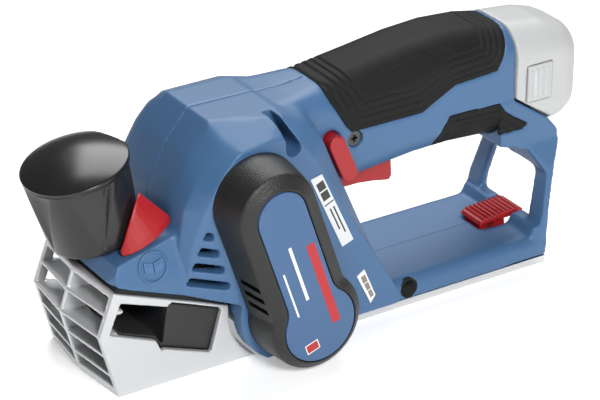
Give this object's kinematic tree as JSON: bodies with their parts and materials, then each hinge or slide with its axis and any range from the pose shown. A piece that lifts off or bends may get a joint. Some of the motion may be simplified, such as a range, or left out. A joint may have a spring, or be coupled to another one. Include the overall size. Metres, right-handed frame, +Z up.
{
  "type": "electric hand planer",
  "caption": "Compact battery hand planer with a belt-driven cutter drum, knob-set front shoe, closed rear handle and removable pack.",
  "frame": {"origin": "centre of the rear sole's working face", "axes": "+X forward in the planing direction, +Y left towards the belt cover, +Z up away from the work"},
  "size_m": [0.2641, 0.0863, 0.1158],
  "materials": {
    "body_plastic": "fine-textured moulded nylon",
    "grip_rubber": "matt soft-touch",
    "cover_plastic": "coarse spark texture",
    "cover_inlay": "smooth satin",
    "cast_alloy": "fine-blasted die casting, machined sole",
    "sole_alloy": "ground, brushed lengthways",
    "steel": "ground",
    "dark_steel": "black oxide",
    "carbide": "lapped",
    "drum_alloy": "turned",
    "brass": "turned",
    "copper": "lacquered winding",
    "knob_plastic": "satin moulded",
    "red_plastic": "satin moulded",
    "black_plastic": "moulded",
    "foam": "closed-cell foam",
    "belt_rubber": "ribbed",
    "label_silver": "printed film",
    "gauge": "three-segment window",
    "circuit": "potted board",
    "pack_plastic": "pale grey moulded",
    "cell_wrap": "shrink film"
  },
  "bodies": {
    "body": {"housing_left": "body_plastic", "housing_right": "body_plastic", "grip_upper": "grip_rubber", "grip_palm": "grip_rubber", "rear_sole": "sole_alloy", "sole_screws": "steel", "seal_strip": "foam", "drum_bearing_left": "steel", "drum_bearing_right": "steel", "drum_end_plate": "drum_alloy", "motor_bearing_left": "steel", "motor_bearing_right": "steel", "motor_bracket": "drum_alloy", "motor_stator": "copper", "drive_belt": "belt_rubber", "belt_cover": "cover_plastic", "belt_cover_panel": "cover_inlay", "switch_module": "black_plastic", "control_board": "circuit", "battery_contacts": "black_plastic", "trigger_pin": "steel", "trigger_spring": "steel", "lock_spring": "steel", "parking_pin": "steel", "housing_screws": "dark_steel", "side_label": "label_silver", "charge_gauge": "gauge"},
    "depth_control": {"depth_knob": "knob_plastic", "depth_spindle": "steel"},
    "shoe": {"front_shoe": "cast_alloy", "shoe_nut": "brass", "guide_pins": "steel", "chip_chute": "black_plastic"},
    "deflector": {"chip_deflector": "black_plastic"},
    "chip_selector": {"chip_lever": "red_plastic"},
    "cutter": {"cutter_drum": "drum_alloy", "drum_shaft": "steel", "cutter_blades": "carbide", "blade_clamps": "drum_alloy", "clamp_screws": "dark_steel", "driven_pulley": "drum_alloy"},
    "rotor": {"motor_rotor": "steel", "motor_shaft": "steel", "cooling_fan": "black_plastic", "drive_pulley": "drum_alloy"},
    "trigger_body": {"trigger": "red_plastic"},
    "lock_body": {"lock_button": "red_plastic"},
    "parking_rest": {"parking_lever": "red_plastic"},
    "battery": {"battery_case": "pack_plastic", "battery_cells": "cell_wrap"},
    "clip_left": {"battery_clip_left": "pack_plastic"},
    "clip_right": {"battery_clip_right": "pack_plastic"}
  },
  "joints": [
    {"name": "depth_turn", "type": "hinge", "parent": "body", "child": "depth_control", "pos_m": [0.1472, 0, 0.05956], "axis": [0.225, 0, 0.9744], "range_deg": [0, 320]},
    {"name": "shoe_lift", "type": "slide", "parent": "body", "child": "shoe", "axis": [0.225, 0, 0.9744], "range_m": [0, 0.002], "deforming": ["seal_strip"]},
    {"name": "selector_turn", "type": "hinge", "parent": "body", "child": "chip_selector", "pos_m": [0.1472, 0, 0.05956], "axis": [-0.225, 0, -0.9744], "range_deg": [0, 50]},
    {"name": "flap_turn", "type": "hinge", "parent": "shoe", "child": "deflector", "pos_m": [0.1475, 0, 0.02704], "axis": [0.3681, 0, -0.9298], "range_deg": [0, 64]},
    {"name": "drum_spin", "type": "hinge", "parent": "body", "child": "cutter", "pos_m": [0.074, 0, 0.0234], "axis": [0, 1, 0], "continuous": true},
    {"name": "rotor_spin", "type": "hinge", "parent": "body", "child": "rotor", "pos_m": [0.0924, 0, 0.078], "axis": [0, 1, 0], "continuous": true},
    {"name": "trigger_pull", "type": "hinge", "parent": "body", "child": "trigger_body", "pos_m": [0.03, 0, 0.0605], "axis": [0, 1, 0], "range_deg": [0, 12], "stiffness_Nm_per_rad": 0.6, "springref_deg": -6.88, "deforming": ["trigger_spring"]},
    {"name": "lock_press", "type": "slide", "parent": "body", "child": "lock_body", "axis": [0, -1, 0], "range_m": [0, 0.003], "stiffness_N_per_m": 500, "springref_m": -0.002, "deforming": ["lock_spring"]},
    {"name": "parking_fold", "type": "hinge", "parent": "body", "child": "parking_rest", "pos_m": [-0.041, 0.0005, 0.008], "axis": [0, -1, 0], "range_deg": [0, 12]},
    {"name": "battery_slide", "type": "slide", "parent": "body", "child": "battery", "axis": [-1, 0, 0], "range_m": [0, 0.06]},
    {"name": "clip_left_press", "type": "slide", "parent": "battery", "child": "clip_left", "axis": [0, -1, 0], "range_m": [0, 0.0015], "stiffness_N_per_m": 800, "springref_m": -0.001},
    {"name": "clip_right_press", "type": "slide", "parent": "battery", "child": "clip_right", "axis": [0, 1, 0], "range_m": [0, 0.0015], "stiffness_N_per_m": 800, "springref_m": -0.001}
  ],
  "couplings": [
    {"joint": "depth_turn", "follows": "shoe_lift", "rad_per_m": 2792.5},
    {"joint": "flap_turn", "follows": "selector_turn", "ratio": 1.28},
    {"joint": "rotor_spin", "follows": "drum_spin", "ratio": 1.6111}
  ]
}
